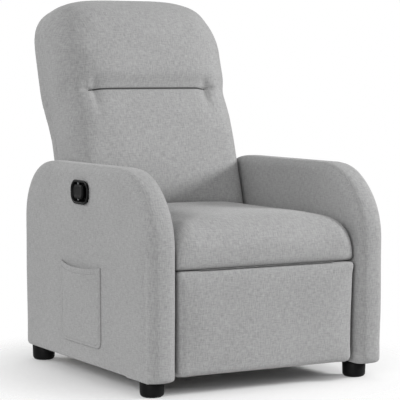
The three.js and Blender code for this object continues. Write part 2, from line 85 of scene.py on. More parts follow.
def soft_light(name, place, target, size, watts):
    data = bpy.data.lights.new(name, "AREA")
    data.shape = "DISK"
    data.size = size
    data.energy = watts
    light = bpy.data.objects.new(name, data)
    bpy.context.collection.objects.link(light)
    light.location = place
    light.rotation_euler = (Vector(target) - Vector(place)).to_track_quat("-Z", "Y").to_euler()


def make_studio():
    bpy.context.scene.view_settings.view_transform = "Standard"
    middle = (0, 0, 0.5)
    soft_light("key_light", (3.2, -1.7, 1.5), middle, 0.7, 124)
    soft_light("front_light", (-2.9, -2.9, 1.3), middle, 2.2, 80)
    soft_light("rear_light", (-2.4, 2.4, 1.6), middle, 1.6, 38)
    soft_light("top_light", (0.2, 0.2, 3.6), middle, 2.6, 10)
    make_world()
    make_floor()


def make_world():
    """A white room: even white to look at, with softer light from it than its look alone would give."""
    world = bpy.data.worlds.new("studio")
    world.use_nodes = True
    tree = world.node_tree
    ray = tree.nodes.new("ShaderNodeLightPath")
    strength = tree.nodes.new("ShaderNodeMapRange")
    strength.inputs["To Min"].default_value = 0.42
    strength.inputs["To Max"].default_value = 1.0
    tree.links.new(ray.outputs["Is Camera Ray"], strength.inputs["Value"])
    tree.links.new(strength.outputs["Result"], tree.nodes["Background"].inputs["Strength"])
    tree.nodes["Background"].inputs["Color"].default_value = (1, 1, 1, 1)
    bpy.context.scene.world = world


def make_floor():
    """A pale round floor that fades into the white room."""
    mesh = bpy.data.meshes.new("floor")
    reach = 1.6
    corners = [(-reach, -reach, 0), (reach, -reach, 0), (reach, reach, 0), (-reach, reach, 0)]
    mesh.from_pydata(corners, [], [(0, 1, 2, 3)])
    floor = bpy.data.objects.new("floor", mesh)
    bpy.context.collection.objects.link(floor)
    pale = bpy.data.materials.new("pale_floor")
    pale.use_nodes = True
    tree = pale.node_tree
    shader = tree.nodes["Principled BSDF"]
    shader.inputs["Base Color"].default_value = (0.96, 0.96, 0.96, 1)
    shader.inputs["Roughness"].default_value = 0.9
    place = tree.nodes.new("ShaderNodeTexCoord")
    radius = tree.nodes.new("ShaderNodeVectorMath")
    radius.operation = "LENGTH"
    fade = tree.nodes.new("ShaderNodeMapRange")
    fade.interpolation_type = "SMOOTHSTEP"
    fade.inputs["From Min"].default_value = 0.30
    fade.inputs["From Max"].default_value = 0.74
    fade.inputs["To Min"].default_value = 1.0
    fade.inputs["To Max"].default_value = 0.0
    tree.links.new(place.outputs["Object"], radius.inputs[0])
    tree.links.new(radius.outputs["Value"], fade.inputs["Value"])
    tree.links.new(fade.outputs["Result"], shader.inputs["Alpha"])
    mesh.materials.append(pale)


# ---- materials -----------------------------------------------------------------------------

class Nodes:
    """A material's node tree, with short calls for the nodes used here."""

    def __init__(self, name):
        self.material = bpy.data.materials.new(name)
        self.material.use_nodes = True
        self.tree = self.material.node_tree
        self.shader = self.tree.nodes["Principled BSDF"]
        self.coordinates = self.tree.nodes.new("ShaderNodeTexCoord")

    def link(self, source, target):
        self.tree.links.new(source, target)

    def put(self, value, socket):
        if isinstance(value, bpy.types.NodeSocket):
            self.link(value, socket)
        else:
            socket.default_value = value

    def math(self, operation, a, b=0.0):
        node = self.tree.nodes.new("ShaderNodeMath")
        node.operation = operation
        self.put(a, node.inputs[0])
        self.put(b, node.inputs[1])
        return node.outputs[0]

    def vector(self, operation, a, b=(0, 0, 0)):
        node = self.tree.nodes.new("ShaderNodeVectorMath")
        node.operation = operation
        self.put(a, node.inputs[0])
        self.put(b, node.inputs[1])
        return node.outputs[0]

    def split(self, vector):
        node = self.tree.nodes.new("ShaderNodeSeparateXYZ")
        self.link(vector, node.inputs[0])
        return node.outputs

    def join(self, x, y, z=0.0):
        node = self.tree.nodes.new("ShaderNodeCombineXYZ")
        for value, socket in zip((x, y, z), node.inputs):
            self.put(value, socket)
        return node.outputs[0]

    def choose(self, factor, a, b):
        """b where factor is 1, a where it is 0, for vectors."""
        node = self.tree.nodes.new("ShaderNodeMix")
        node.data_type = "VECTOR"
        self.put(factor, node.inputs["Factor"])
        self.put(a, node.inputs[4])
        self.put(b, node.inputs[5])
        return node.outputs[1]

    def noise(self, vector, scale, detail=2.0, roughness=0.5):
        node = self.tree.nodes.new("ShaderNodeTexNoise")
        self.link(vector, node.inputs["Vector"])
        node.inputs["Scale"].default_value = scale
        node.inputs["Detail"].default_value = detail
        node.inputs["Roughness"].default_value = roughness
        return node.outputs["Fac"]

    def ramp(self, factor, stops):
        node = self.tree.nodes.new("ShaderNodeValToRGB")
        self.link(factor, node.inputs["Fac"])
        elements = node.color_ramp.elements
        while len(elements) < len(stops):
            elements.new(0.5)
        for element, (position, colour) in zip(elements, stops):
            element.position = position
            element.color = (*colour, 1)
        return node.outputs["Color"]

    def bump(self, height, distance, strength=1.0):
        node = self.tree.nodes.new("ShaderNodeBump")
        node.inputs["Strength"].default_value = strength
        node.inputs["Distance"].default_value = distance
        self.link(height, node.inputs["Height"])
        self.link(node.outputs["Normal"], self.shader.inputs["Normal"])

    def cloth_plane(self):
        """Two coordinates that run along the cloth, whichever way the surface faces."""
        place = self.coordinates.outputs["Object"]
        x, y, z = self.split(place)
        nx, ny, nz = (self.math("ABSOLUTE", part) for part in self.split(self.coordinates.outputs["Normal"]))
        facing_x = self.math("GREATER_THAN", nx, self.math("MAXIMUM", ny, nz))
        facing_z = self.math("GREATER_THAN", nz, self.math("MAXIMUM", nx, ny))
        seen_from_front = self.join(x, z)
        seen_from_side = self.join(y, z)
        seen_from_above = self.join(x, y)
        side_or_front = self.choose(facing_x, seen_from_front, seen_from_side)
        return self.choose(facing_z, side_or_front, seen_from_above)


def shades(tone, *factors):
    return [tuple(min(1.0, channel * factor) for channel in tone) for factor in factors]


def woven(name, tone, thread=1.5 * MM, contrast=1.0, relief=0.35 * MM, sheen=0.25):
    """A melange weave: crossing yarns, each a little lighter or darker than the next, slubbed and matt."""
    n = Nodes(name)
    plane = n.cloth_plane()
    along, across, _ = n.split(plane)
    turn = 2 * math.pi / thread
    warp_wave = n.math("SINE", n.math("MULTIPLY", along, turn))
    weft_wave = n.math("SINE", n.math("MULTIPLY", across, turn))
    crossing = n.math("MULTIPLY", warp_wave, weft_wave)
    fine, long = 1 / (1.1 * thread), 0.09 / thread
    warp = n.noise(n.vector("MULTIPLY", plane, (fine, long, 1)), 1.0, 2, 0.6)
    weft = n.noise(n.vector("MULTIPLY", plane, (long, fine, 1)), 1.0, 2, 0.6)
    over = n.math("GREATER_THAN", crossing, 0.0)
    warp_part = n.math("MULTIPLY", warp, over)
    weft_part = n.math("MULTIPLY", weft, n.math("SUBTRACT", 1.0, over))
    yarn = n.math("ADD", warp_part, weft_part)
    slub = 1 / (1.9 * thread)
    warp_slub = n.noise(n.vector("MULTIPLY", plane, (slub, slub * 0.2, 1)), 1.0, 1, 0.5)
    weft_slub = n.noise(n.vector("MULTIPLY", plane, (slub * 0.2, slub, 1)), 1.0, 1, 0.5)
    slubs = n.math("ADD", n.math("MULTIPLY", warp_slub, 0.55), n.math("MULTIPLY", weft_slub, 0.45))
    cloud = n.noise(n.coordinates.outputs["Object"], 9, 3)
    blend = n.math("ADD", n.math("MULTIPLY", yarn, 0.46), n.math("MULTIPLY", slubs, 0.44))
    blend = n.math("ADD", blend, n.math("MULTIPLY", cloud, 0.07))
    low, high = 0.5 - 0.15 / contrast, 0.5 + 0.15 / contrast
    dark, middle, light = shades(tone, 0.7, 1.0, 1.32)
    n.link(n.ramp(blend, [(low, dark), (0.5, middle), (high, light)]), n.shader.inputs["Base Color"])
    n.shader.inputs["Roughness"].default_value = 0.92
    n.shader.inputs["Specular IOR Level"].default_value = 0.2
    n.shader.inputs["Sheen Weight"].default_value = sheen
    n.shader.inputs["Sheen Roughness"].default_value = 0.55
    height = n.math("ADD", n.math("MULTIPLY", n.math("ABSOLUTE", crossing), 0.5), yarn)
    n.bump(height, relief, 0.7)
    return n.material


def moulded(name, tone, roughness=0.42):
    """Moulded plastic with a fine spark-eroded grain."""
    n = Nodes(name)
    place = n.coordinates.outputs["Object"]
    grain = n.noise(place, 2600, 2)
    cloud = n.noise(place, 30, 3)
    dark, light = shades(tone, 0.85, 1.2)
    n.link(n.ramp(cloud, [(0.35, dark), (0.65, light)]), n.shader.inputs["Base Color"])
    rough = n.math("ADD", n.math("MULTIPLY", cloud, 0.16), roughness - 0.08)
    n.link(rough, n.shader.inputs["Roughness"])
    n.shader.inputs["Specular IOR Level"].default_value = 0.12
    n.bump(grain, 0.05 * MM, 0.5)
    return n.material


def coated_steel(name, tone):
    """Powder coat: orange peel and a few rubbed marks."""
    n = Nodes(name)
    place = n.coordinates.outputs["Object"]
    peel = n.noise(place, 900, 2)
    scuffs = n.noise(n.vector("MULTIPLY", place, (1, 0.15, 0.6)), 120, 3, 0.7)
    dark, light = shades(tone, 0.9, 2.1)
    n.link(n.ramp(scuffs, [(0.52, dark), (0.72, light)]), n.shader.inputs["Base Color"])
    n.shader.inputs["Metallic"].default_value = 0.25
    n.link(n.math("ADD", n.math("MULTIPLY", scuffs, 0.3), 0.3), n.shader.inputs["Roughness"])
    n.bump(peel, 0.08 * MM, 0.5)
    return n.material


def bright_wire(name):
    """Drawn spring wire with faint lengthwise marks."""
    n = Nodes(name)
    marks = n.noise(n.vector("MULTIPLY", n.coordinates.outputs["Object"], (1, 0.1, 1)), 1500, 2)
    worn = n.ramp(marks, [(0.3, (0.3, 0.31, 0.32)), (0.7, (0.62, 0.63, 0.65))])
    n.link(worn, n.shader.inputs["Base Color"])
    n.shader.inputs["Metallic"].default_value = 1.0
    n.link(n.math("ADD", n.math("MULTIPLY", marks, 0.2), 0.2), n.shader.inputs["Roughness"])
    n.bump(marks, 0.02 * MM, 0.4)
    return n.material


def timber(name):
    """Planed pine: growth rings pulled out along the board, with a fine open grain."""
    n = Nodes(name)
    place = n.coordinates.outputs["Object"]
    stretched = n.vector("MULTIPLY", place, (9, 1.2, 9))
    bend = n.noise(stretched, 1.0, 3)
    rings = n.math("FRACT", n.math("MULTIPLY", bend, 14))
    fibre = n.noise(n.vector("MULTIPLY", place, (900, 40, 900)), 1.0, 2)
    mix = n.math("ADD", n.math("MULTIPLY", rings, 0.65), n.math("MULTIPLY", fibre, 0.35))
    stops = [(0.15, (0.34, 0.25, 0.16)), (0.5, (0.48, 0.38, 0.26)), (0.9, (0.58, 0.48, 0.35))]
    n.link(n.ramp(mix, stops), n.shader.inputs["Base Color"])
    n.link(n.math("ADD", n.math("MULTIPLY", fibre, 0.25), 0.5), n.shader.inputs["Roughness"])
    n.bump(fibre, 0.15 * MM, 0.5)
    return n.material


COVER = woven("light_grey_tweed", (0.338, 0.338, 0.338), contrast=0.95)
THREAD = woven("grey_thread", (0.26, 0.26, 0.26), thread=0.4 * MM, relief=0.1 * MM)
# Near-black material for the tube in the backrest's crease: painted shade, standing in for the shadow in the fold.
SHADOW_THREAD = woven("painted_crease_shadow", (0.05, 0.05, 0.05), thread=0.4 * MM, relief=0.1 * MM)
WEBBING = woven("black_webbing", (0.03, 0.03, 0.032), thread=2.2 * MM, sheen=0.1)
PLASTIC = moulded("black_plastic", (0.0045, 0.0045, 0.0047), 0.5)
HANDLE_PLASTIC = moulded("black_handle_plastic", (0.006, 0.006, 0.0062), 0.4)
STEEL = coated_steel("black_powder_coat", (0.016, 0.016, 0.018))
WIRE = bright_wire("spring_wire")
WOOD = timber("planed_timber")

CAD_LOOKS = {
    "frame_wood": WOOD,
    "black_steel": STEEL,
    "spring_wire": WIRE,
    "black_plastic": PLASTIC,
    "webbing": WEBBING,
    "cover_fabric": COVER,
}


def dress_cad_nodes():
    """Every CAD node gets the procedural look of its own material slot."""
    for entry in frame["record"]["subparts"]:
        node = frame["nodes"][entry["node"]]
        look = CAD_LOOKS[entry["material_slot"]]
        if not node.data.materials:
            node.data.materials.append(look)
        for material_slot in node.material_slots:
            material_slot.material = look


# ---- mesh building -------------------------------------------------------------------------

def new_object(name, vertices, faces, material):
    mesh = bpy.data.meshes.new(name)
    mesh.from_pydata([tuple(v) for v in vertices], [], [tuple(f) for f in faces])
    mesh.validate()
    mesh.materials.append(material)
    made = bpy.data.objects.new(name, mesh)
    bpy.context.collection.objects.link(made)
    return made


def smooth(thing):
    thing.data.polygons.foreach_set("use_smooth", [True] * len(thing.data.polygons))
    thing.data.update()
    return thing


def vertex_values(thing, what):
    flat = np.empty(len(thing.data.vertices) * 3)
    thing.data.vertices.foreach_get(what, flat)
    return flat.reshape(-1, 3)


def points_of(thing):
    return vertex_values(thing, "co")


def normals_of(thing):
    return vertex_values(thing, "normal")


def move_points(thing, points):
    thing.data.vertices.foreach_set("co", np.asarray(points, float).ravel())
    thing.data.update()


def ray_tree(thing):
    """The piece's faces, ready to be met by rays."""
    places = [vertex.co for vertex in thing.data.vertices]
    return BVHTree.FromPolygons(places, [polygon.vertices for polygon in thing.data.polygons])


def apply_modifiers(thing):
    depsgraph = bpy.context.evaluated_depsgraph_get()
    depsgraph.update()
    baked = bpy.data.meshes.new_from_object(thing.evaluated_get(depsgraph))
    old = thing.data
    thing.modifiers.clear()
    thing.data = baked
    bpy.data.meshes.remove(old)


def lofted(name, loops, material):
    """A closed skin through loops of equal count, the first and last filled."""
    count = len(loops[0])
    vertices = [point for loop in loops for point in loop]
    faces = []
    for row in range(len(loops) - 1):
        for i in range(count):
            j = (i + 1) % count
            a, b = row * count, (row + 1) * count
            faces.append((a + i, a + j, b + j, b + i))
    faces.append(tuple(reversed(range(count))))
    faces.append(tuple(range((len(loops) - 1) * count, len(loops) * count)))
    made = new_object(name, vertices, faces, material)
    face_outwards(made)
    return made


def face_outwards(thing):
    work = bmesh.new()
    work.from_mesh(thing.data)
    bmesh.ops.recalc_face_normals(work, faces=work.faces)
    work.to_mesh(thing.data)
    work.free()


def inwards(outline):
    """The way in at each point of a convex closed outline, as long as a unit inset needs there."""
    ring = np.asarray(outline, float)
    ahead = np.roll(ring, -1, 0) - ring
    behind = ring - np.roll(ring, 1, 0)
    ahead /= np.linalg.norm(ahead, axis=1)[:, None]
    behind /= np.linalg.norm(behind, axis=1)[:, None]
    tangent = ahead + behind
    tangent /= np.linalg.norm(tangent, axis=1)[:, None]
    stretch = 1 / np.maximum(0.5, np.einsum("ij,ij->i", tangent, ahead))
    return np.stack([-tangent[:, 1], tangent[:, 0]], 1) * stretch[:, None]


def inset_outline(outline, distance):
    """A convex closed outline moved inwards, by one distance or by one for each point."""
    ring = np.asarray(outline, float)
    return ring + inwards(ring) * np.broadcast_to(distance, len(ring))[:, None]


def evenly(outline, spacing):
    """The closed outline, with points about spacing apart."""
    ring = np.vstack([outline, outline[:1]])
    steps = np.linalg.norm(np.diff(ring, axis=0), axis=1)
    travelled = np.concatenate([[0], np.cumsum(steps)])
    count = int(travelled[-1] / spacing)
    wanted = np.linspace(0, travelled[-1], count, endpoint=False)
    return np.stack([np.interp(wanted, travelled, ring[:, k]) for k in (0, 1)], 1)


def arc(centre, radii, start, end, count=12):
    """Points on an oval's arc, angles in degrees."""
    angles = np.radians(np.linspace(start, end, count))
    return [(centre[0] + radii[0] * math.cos(t), centre[1] + radii[1] * math.sin(t)) for t in angles]


# ---- soft pieces ---------------------------------------------------------------------------

OUTLINE_STEP = 0.006
VOXEL = 0.0055
ARM_VOXEL = 0.0065
CLOTH_FRAMES = 20
EVENING_ROUNDS = 30


def remeshed(thing, size):
    remesh = thing.modifiers.new("remesh", "REMESH")
    remesh.mode = "VOXEL"
    remesh.voxel_size = size
    remesh.use_smooth_shade = True
    apply_modifiers(thing)


def relaxed(thing, times):
    modifier = thing.modifiers.new("relax", "SMOOTH")
    modifier.iterations = times
    modifier.factor = 0.5
    apply_modifiers(thing)


def swollen(thing, pressure, cap, held):
    """The filling's push from inside: a cloth simulation under pressure, held to cap from where it began.
    held gives each point's share of grip by the frame behind it, from 0 to 1."""
    scene = bpy.context.scene
    start = points_of(thing)
    cloth = thing.modifiers.new("cloth", "CLOTH")
    settings = cloth.settings
    settings.quality = 4
    settings.mass = 0.25
    settings.tension_stiffness = 12
    settings.compression_stiffness = 12
    settings.shear_stiffness = 4
    settings.bending_stiffness = 0.6
    settings.use_pressure = True
    settings.uniform_pressure_force = pressure
    settings.effector_weights.gravity = 0
    cloth.collision_settings.use_collision = False
    cloth.point_cache.frame_start = 1
    cloth.point_cache.frame_end = CLOTH_FRAMES
    grips = held(start)
    group = thing.vertex_groups.new(name="held")
    for index, grip in enumerate(grips):
        if grip > 0.01:
            group.add([index], float(min(grip, 1)), "REPLACE")
    settings.vertex_group_mass = "held"
    for number in range(1, CLOTH_FRAMES + 1):
        scene.frame_set(number)
        bpy.context.view_layer.update()
    depsgraph = bpy.context.evaluated_depsgraph_get()
    end = points_of(thing.evaluated_get(depsgraph))
    thing.modifiers.clear()
    thing.vertex_groups.clear()
    scene.frame_set(1)
    shift = end - start
    length = np.linalg.norm(shift, axis=1)
    limited = cap * np.tanh(length / cap)
    shift *= (limited / np.maximum(length, 1e-9))[:, None]
    free = 1 - np.clip(grips, 0, 1)
    move_points(thing, start + evened(thing, shift) * free[:, None])


def evened(thing, values):
    """The values at each point, shared out with their neighbours, which takes out fine wrinkles."""
    edges = np.empty(len(thing.data.edges) * 2, dtype=np.int64)
    thing.data.edges.foreach_get("vertices", edges)
    one, other = edges.reshape(-1, 2).T
    count = np.bincount(edges, minlength=len(values))[:, None]
    for _ in range(EVENING_ROUNDS):
        total = np.zeros_like(values)
        for k in range(3):
            total[:, k] = np.bincount(one, values[other, k], len(values))
            total[:, k] += np.bincount(other, values[one, k], len(values))
        values = 0.3 * values + 0.7 * total / count
    return values


def refined(thing):
    subsurf = thing.modifiers.new("refine", "SUBSURF")
    subsurf.levels = 1
    subsurf.render_levels = 1
    apply_modifiers(thing)
    smooth(thing)


def ease(value):
    t = np.clip(value, 0, 1)
    return t * t * (3 - 2 * t)


def groove(points, normals, distance, depth, width):
    """Points pulled in along their normals near a seam, as far as distance says they are from it."""
    pull = depth * np.exp(-((distance / width) ** 2))
    return points - normals * pull[:, None]


def finish_soft(thing, body, node):
    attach(thing, body)
    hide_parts(node)


# ---- arms ----------------------------------------------------------------------------------

def arm_outline(low, high):
    """The arm from the side, as (y, z): from the bottom front corner round to the top."""
    front, rear, bottom, top = low.y + 0.010, high.y + 0.009, 0.039, high.z + 0.001
    foot = 0.018
    outline = arc((front + foot, bottom + foot), (foot, foot), 180, 270, 6)
    outline += arc((rear - foot, bottom + foot), (foot, foot), 270, 360, 6)
    outline += arc((rear - 0.150, top - 0.152), (0.150, 0.152), 0, 90, 18)
    outline += arc((front + 0.188, top - 0.185), (0.188, 0.185), 90, 180, 20)
    return evenly(np.array(outline), OUTLINE_STEP)


def distance_to_outline(points, outline):
    """How far each (y, z) point lies from the nearest outline point."""
    best = np.full(len(points), 1e9)
    for chunk in np.array_split(outline, max(1, len(outline) // 24)):
        gap = np.linalg.norm(points[:, None, :] - chunk[None, :, :], axis=2).min(1)
        best = np.minimum(best, gap)
    return best


ARM_EDGE = 0.021
ARM_FRONT_EDGE = 0.028
ARM_SEAM = 0.034
ARM_INNER_SHRINK = 0.0015
ARM_OUTER_SHRINK = 0.005


def make_arm(side, sign):
    low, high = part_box(f"arm_cover_{side}")
    outline = arm_outline(low, high)
    inner_face, outer_face = (low.x, high.x) if sign > 0 else (high.x, low.x)
    x_inner, x_outer = inner_face + sign * ARM_INNER_SHRINK, outer_face - sign * ARM_OUTER_SHRINK
    thickness = abs(x_outer - x_inner)
    front_share = ease((low.y + 0.16 - outline[:, 0]) / 0.10)
    edge = ARM_EDGE + (ARM_FRONT_EDGE - ARM_EDGE) * front_share
    skins = []
    turns = np.linspace(0, math.pi / 2, 8)
    for turn, near in [(t, True) for t in turns] + [(t, False) for t in reversed(turns)]:
        depth = edge * (1 - math.cos(turn))
        across = depth if near else thickness - depth
        ring = inset_outline(outline, edge * (1 - math.sin(turn)))
        lowering = 0.92 * edge * (1 - math.sin(turn)) * ease((0.10 - ring[:, 1]) / 0.05)
        tuck = 0.002 * ease((0.26 - ring[:, 1]) / 0.22) * (across / thickness) ** 2
        x = x_inner + sign * (across - tuck)
        y = ring[:, 0] + 0.002 * ease((0.2 - ring[:, 1]) / 0.16) * (ring[:, 0] < 0)
        skins.append(np.stack([x, y, ring[:, 1] - lowering], 1))
    arm = lofted(f"arm_upholstery_{side}", skins, COVER)
    remeshed(arm, ARM_VOXEL)
    relaxed(arm, 2)

    def held(points):
        return ease((0.056 - points[:, 2]) / 0.008)

    swollen(arm, 2.0, 0.003, held)
    relaxed(arm, 2)
    refined(arm)
    points, normals = points_of(arm), normals_of(arm)
    ring = distance_to_outline(points[:, 1:], inset_outline(outline, ARM_SEAM))
    on_outside = ease((sign * (points[:, 0] - (x_inner + x_outer) / 2) - 0.022) / 0.008)
    front_part = ease((low.y + 0.12 - points[:, 1]) / 0.06) * ease((0.47 - points[:, 2]) / 0.16)
    above_bottom = ease((points[:, 2] - 0.06) / 0.03)
    away = ring + (1 - on_outside * front_part * above_bottom) * 0.08
    points = groove(points, normals, away, 0.0032, 0.011)
    if side == "left":
        points = sunk_for_handle(points)
    move_points(arm, points)
    finish_soft(arm, "base", f"arm_cover_{side}")
    return arm


def sunk_for_handle(points):
    """The outer face goes in under the release handle's bezel, so that the cup and the grip show."""
    low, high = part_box("handle_cup")
    y_off = np.abs(points[:, 1] - (low.y + high.y) / 2) - ((high.y - low.y) / 2 - 0.022)
    z_off = np.abs(points[:, 2] - (low.z + high.z) / 2) - ((high.z - low.z) / 2 - 0.022)
    beyond = np.hypot(np.maximum(y_off, 0), np.maximum(z_off, 0)) - 0.017
    outer = ease((-0.31 - points[:, 0]) / 0.01)
    moved = points.copy()
    moved[:, 0] += 0.022 * ease(-beyond / 0.004) * outer
    return moved


# ---- backrest ------------------------------------------------------------------------------

BACK_PIVOT = Vector(JOINTS["back_recline"]["pos_m"])
BACK_RAKE = math.radians(16.7)
BACK_PLACE = Matrix.Translation(BACK_PIVOT) @ Matrix.Rotation(-BACK_RAKE, 4, "X")
BACK = {
    "front": -0.096,
    "seam": 0.045,
    "rear": 0.080,
    "bottom": 0.045,
    "shoulder": 0.520,
    "top": 0.696,
    "half": 0.248,
    "squareness": 3.8,
    "crease": 0.416,
    "crease_half": 0.176,
    "crease_middle": -0.008,
}


def back_outline():
    """The backrest from the front, upright, as (x, z)."""
    corner = 0.05
    half = BACK["half"]
    rise = BACK["top"] - BACK["shoulder"]
    outline = arc((half - corner, BACK["bottom"] + corner), (corner, corner), -90, 0, 8)
    power = 2 / BACK["squareness"]
    for t in np.linspace(0, math.pi, 60):
        across = math.copysign(abs(math.cos(t)) ** power, math.cos(t))
        outline.append((half * across, BACK["shoulder"] + rise * math.sin(t) ** power))
    outline += arc((-half + corner, BACK["bottom"] + corner), (corner, corner), 180, 270, 8)
    return evenly(np.array(outline), OUTLINE_STEP)


def upright_to_place(points):
    return points @ np.array(BACK_PLACE.to_3x3()).T + np.array(BACK_PLACE.translation)


def skins_between(outline, near, far, near_edge, far_edge, shrink):
    """Rings (x, y, z) from the near face to the far one. An edge is one radius or one for each point."""
    skins = []
    for turn in np.linspace(0, math.pi / 2, 8):
        ring = inset_outline(outline, near_edge * (1 - math.sin(turn)) + shrink)
        skins.append((ring, near + near_edge * (1 - math.cos(turn))))
    for turn in np.linspace(math.pi / 2, 0, 5):
        ring = inset_outline(outline, far_edge * (1 - math.sin(turn)) + shrink)
        skins.append((ring, far - far_edge * (1 - math.cos(turn))))
    return [np.stack([ring[:, 0], np.broadcast_to(y, len(ring)), ring[:, 1]], 1) for ring, y in skins]


def flared(points):
    """The upper half widens from front to rear."""
    upper = ease((points[:, 2] - 0.30) / 0.15)
    moved = points.copy()
    moved[:, 0] *= 1 + 0.070 * upper * (points[:, 1] + 0.055) / 0.135
    return moved


def pull_crease(points):
    """The sewn channel across the front: a deep fold between two dimples, and a faint line beyond them."""
    x, y, z = points.T
    front_share = ease((0.0 - y) / 0.05)
    across = np.abs(x - BACK["crease_middle"])
    inside = ease((BACK["crease_half"] + 0.008 - across) / 0.022)
    dimple = np.exp(-(((across - BACK["crease_half"]) / 0.02) ** 2))
    fade = np.clip((0.27 - across) / 0.09, 0, 1) * (1 + 0.9 * ease((x - 0.13) / 0.05))
    above = z - BACK["crease"]
    broad = np.exp(-((above / np.where(above > 0, 0.026, 0.050)) ** 2))
    sharp = np.exp(-((above / 0.0055) ** 2))
    pull = broad * (0.017 * inside + 0.008 * dimple + 0.005 * fade)
    pull += sharp * (0.018 * inside + 0.008 * dimple + 0.002 * fade)
    tuck = np.sign(above) * -0.007 * inside * np.exp(-(((np.abs(above) - 0.006) / 0.006) ** 2))
    waist = 0.007 * broad * ease((across - 0.2) / 0.05) * np.sign(x)
    moved = points.copy()
    moved[:, 1] += pull * front_share
    moved[:, 2] += tuck * front_share
    moved[:, 0] -= waist * front_share
    return moved


def make_back_cushion():
    outline = back_outline()
    front_edge = 0.062 + 0.060 * ease((outline[:, 1] - 0.52) / 0.13)
    skins = skins_between(outline, BACK["front"], BACK["seam"], front_edge, 0.0015, 0.001)
    cushion = lofted("back_cushion_cover", [flared(ring) for ring in skins], COVER)
    remeshed(cushion, VOXEL)
    relaxed(cushion, 3)

    def held(points):
        at_rear = ease((points[:, 1] - BACK["seam"] + 0.045) / 0.03)
        between_arms = ease((0.30 - points[:, 2]) / 0.05) * ease((np.abs(points[:, 0]) - 0.20) / 0.02)
        return np.clip(at_rear + between_arms, 0, 1)

    swollen(cushion, 3.0, 0.010, held)
    relaxed(cushion, 2)
    refined(cushion)
    points = pull_crease(points_of(cushion))
    move_points(cushion, upright_to_place(points))
    finish_soft(cushion, "backrest", "back_cushion")
    # Lays a near-black tube in the crease: painted shade for the fold's shadow.
    make_crease_painted_shadow(cushion)


# Size of the near-black tube that paints the crease's shade.
CREASE_SHADOW_RADIUS = 0.0024
CREASE_SHADOW_SIDES = 8


def make_crease_painted_shadow(cushion):
    """A thin near-black tube along the bottom of the fold: painted shade, a dark line standing in for the crease's
    shadow.
    """
    tree = ray_tree(cushion)
    half, middle = BACK["crease_half"] - 0.001, BACK["crease_middle"]
    into = BACK_PLACE.to_3x3() @ Vector((0, 1, 0))
    along = []
    for x in np.linspace(middle - half, middle + half, 120):
        start = BACK_PLACE @ Vector((x, -0.3, BACK["crease"]))
        along.append(tree.ray_cast(start, into)[0] - into * 0.0012)
    vertices = []
    for centre in along:
        for turn in np.linspace(0, 2 * math.pi, CREASE_SHADOW_SIDES, endpoint=False):
            vertices.append(centre + Vector((0, math.cos(turn), math.sin(turn))) * CREASE_SHADOW_RADIUS)
    faces = []
    for row in range(0, len(vertices) - CREASE_SHADOW_SIDES, CREASE_SHADOW_SIDES):
        for k in range(CREASE_SHADOW_SIDES):
            after = (k + 1) % CREASE_SHADOW_SIDES
            faces.append((row + k, row + after, row + CREASE_SHADOW_SIDES + after, row + CREASE_SHADOW_SIDES + k))
    first_end, last_end = range(CREASE_SHADOW_SIDES), range(len(vertices) - CREASE_SHADOW_SIDES, len(vertices))
    faces += [tuple(first_end), tuple(reversed(last_end))]
    # The near-black tube is painted shade, put where the fold's shadow falls.
    seam = smooth(new_object("back_crease_painted_shadow_line", vertices, faces, SHADOW_THREAD))
    face_outwards(seam)
    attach(seam, "backrest")


def make_back_shell():
    outline = back_outline()
    skins = skins_between(outline, BACK["seam"] - 0.007, BACK["rear"], 0.0015, 0.015, 0.001)
    shell = lofted("back_shell_cover", [flared(ring) for ring in skins], COVER)
    remeshed(shell, VOXEL)
    relaxed(shell, 2)

    def held(points):
        return ease((BACK["rear"] - 0.006 - points[:, 1]) / 0.006)

    swollen(shell, 2.0, 0.005, held)
    relaxed(shell, 1)
    refined(shell)
    points, normals = points_of(shell), normals_of(shell)
    ring = distance_to_outline(points[:, [0, 2]], inset_outline(outline, 0.030))
    on_rear = ease((points[:, 1] - BACK["rear"] + 0.02) / 0.012)
    points = groove(points, normals, ring + (1 - on_rear) * 0.05, 0.003, 0.006)
    move_points(shell, upright_to_place(points))
    finish_soft(shell, "backrest", "back_shell")


# ---- seat ----------------------------------------------------------------------------------

SEAT_STEPS = 40


def seat_profile(top, front, roll_bottom, deck, rear):
    """The seat from the side, as (y, z), with the same count whatever the height of its top."""
    round_high = 0.066
    round_low = 0.012
    roll_back = front + 0.064
    outline = [(rear, deck), (rear + 0.010, top - 0.022)]
    outline += arc((rear - 0.014, top - 0.024), (0.024, 0.024), 20, 90, 5)
    outline += [(y, top) for y in np.linspace(rear - 0.03, front + round_high + 0.01, 14)]
    outline += arc((front + round_high, top - round_high), (round_high, round_high), 90, 180, 14)
    outline += arc((front + round_low, roll_bottom + round_low), (round_low, round_low), 180, 270, 8)
    outline += [(roll_back, roll_bottom), (roll_back, deck)]
    return outline


def make_seat():
    low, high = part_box("seat_cushion")
    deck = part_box("seat_front_board")[1].z + 0.0075
    half = high.x - 0.0005
    top_corner = 0.052
    skins = []
    for t in np.linspace(-1, 1, SEAT_STEPS + 1):
        x = half * math.sin(t * math.pi / 2)
        edge = half - abs(x)
        drop = top_corner - math.sqrt(max(0.0, top_corner**2 - max(0.0, top_corner - edge) ** 2))
        crown = 0.009 * (1 - (x / half) ** 2)
        top = high.z - 0.025 + crown - 0.74 * drop
        tuck = 0.12 * drop
        profile = seat_profile(top, low.y + 0.006 + tuck, low.z - 0.0008, deck, high.y - 0.012)
        skins.append([(x, y, z) for y, z in profile])
    seat = lofted("seat_cushion_cover", skins, COVER)
    remeshed(seat, VOXEL)
    relaxed(seat, 2)

    def held(points):
        under = ease((deck + 0.012 - points[:, 2]) / 0.008)
        behind_roll = ease((points[:, 1] - low.y - 0.045) / 0.01)
        roll_bottom = ease((low.z + 0.014 - points[:, 2]) / 0.01)
        return np.clip(under * behind_roll + roll_bottom, 0, 1)

    swollen(seat, 3.0, 0.008, held)
    relaxed(seat, 1)
    refined(seat)
    finish_soft(seat, "seat", "seat_cushion")


# ---- footrest ------------------------------------------------------------------------------

